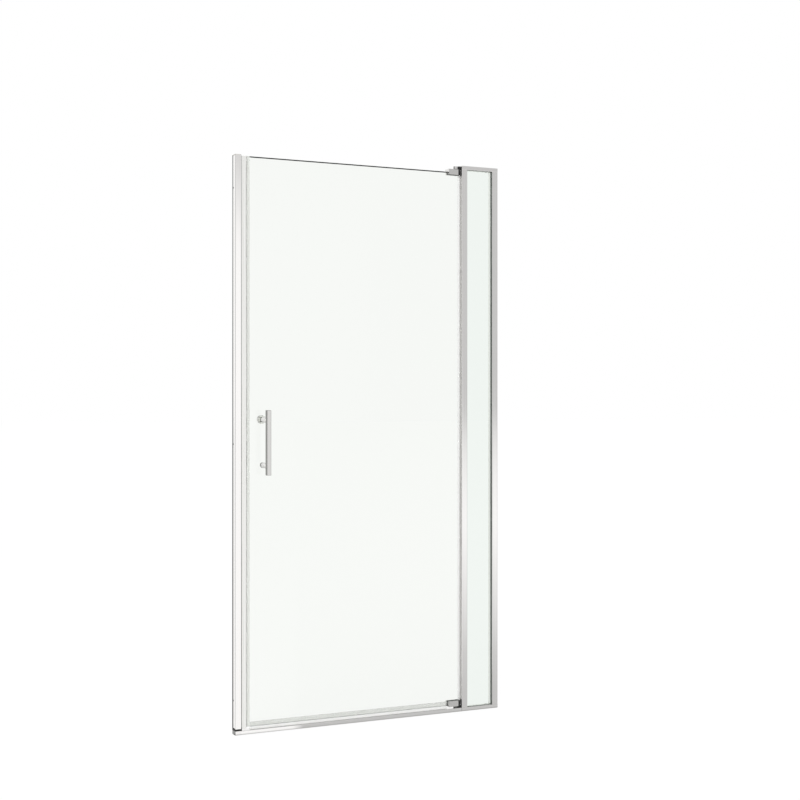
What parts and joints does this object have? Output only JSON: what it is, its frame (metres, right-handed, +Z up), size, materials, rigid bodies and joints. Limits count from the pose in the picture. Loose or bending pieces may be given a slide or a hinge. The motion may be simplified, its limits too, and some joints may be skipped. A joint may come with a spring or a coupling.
{
  "type": "pivot shower door",
  "caption": "Clear glass pivot shower door in line with a narrow fixed glass panel, in a slim bright metal frame with a bar handle and clamp-on pivot hinges at top and bottom.",
  "frame": {"origin": "mid width of the frame, on the mid plane of the glass, on the underside of the sill", "axes": "+X to the right seen from outside the shower, -Y out of the shower towards the user, +Z up"},
  "size_m": [0.948, 0.082, 1.849],
  "materials": {
    "polished_aluminium": "bright polished and anodised",
    "chrome": "polished chrome plate",
    "stainless_steel": "turned",
    "door_pane": "clear tempered, polished edges",
    "fixed_pane": "clear tempered, polished edges",
    "clear_seal": "translucent soft vinyl",
    "magnet_strip": "pale flexible magnet",
    "smoke_vinyl": "satin extruded",
    "black_rubber": "matte",
    "black_nylon": "satin moulded",
    "grey_plastic": "satin moulded",
    "white_nylon": "satin moulded"
  },
  "bodies": {
    "frame": {"arm_screws": "stainless_steel", "bottom_arm_collar": "black_nylon", "bottom_glazing_bead": "polished_aluminium", "bottom_glazing_gasket": "smoke_vinyl", "bottom_pivot_arm": "chrome", "bottom_pivot_pin": "stainless_steel", "bottom_rail": "polished_aluminium", "corner_key_screws": "stainless_steel", "corner_keys": "grey_plastic", "fixed_glass": "fixed_pane", "jamb_glazing_bead": "polished_aluminium", "jamb_glazing_gasket": "smoke_vinyl", "left_channel_cap": "grey_plastic", "left_channel_foot": "black_rubber", "left_wall_channel": "polished_aluminium", "pivot_post": "polished_aluminium", "post_glazing_bead": "polished_aluminium", "post_glazing_gasket": "smoke_vinyl", "profile_screws": "stainless_steel", "right_wall_channel": "polished_aluminium", "setting_blocks": "black_rubber", "sill": "polished_aluminium", "sill_coupler": "grey_plastic", "sill_end_cap": "grey_plastic", "strike_magnetic_strip": "magnet_strip", "strike_profile": "polished_aluminium", "top_arm_collar": "black_nylon", "top_glazing_bead": "polished_aluminium", "top_glazing_gasket": "smoke_vinyl", "top_pivot_arm": "chrome", "top_pivot_pin": "stainless_steel", "top_rail": "polished_aluminium"},
    "door": {"bottom_hinge_clamp_screw": "stainless_steel", "bottom_hinge_end_cover": "black_nylon", "bottom_hinge_inner_clamp": "chrome", "bottom_hinge_outer_clamp": "chrome", "bottom_hinge_pad": "black_rubber", "bottom_pivot_bush": "black_nylon", "door_bottom_seal": "clear_seal", "door_glass": "door_pane", "door_hinge_side_seal": "clear_seal", "door_magnet": "magnet_strip", "door_magnetic_seal": "clear_seal", "handle_bar": "chrome", "handle_inner_washers": "clear_seal", "handle_outer_washers": "clear_seal", "handle_sleeves": "clear_seal", "handle_standoffs": "white_nylon", "handle_studs": "stainless_steel", "inside_cap_nut": "chrome", "inside_knob": "chrome", "top_hinge_clamp_screw": "stainless_steel", "top_hinge_end_cover": "black_nylon", "top_hinge_inner_clamp": "chrome", "top_hinge_outer_clamp": "chrome", "top_hinge_pad": "black_rubber", "top_pivot_bush": "black_nylon"}
  },
  "joints": [
    {"name": "door_pivot", "type": "hinge", "parent": "frame", "child": "door", "pos_m": [0.317, 0, 0], "axis": [0, 0, 1], "range_deg": [0, 90]}
  ]
}
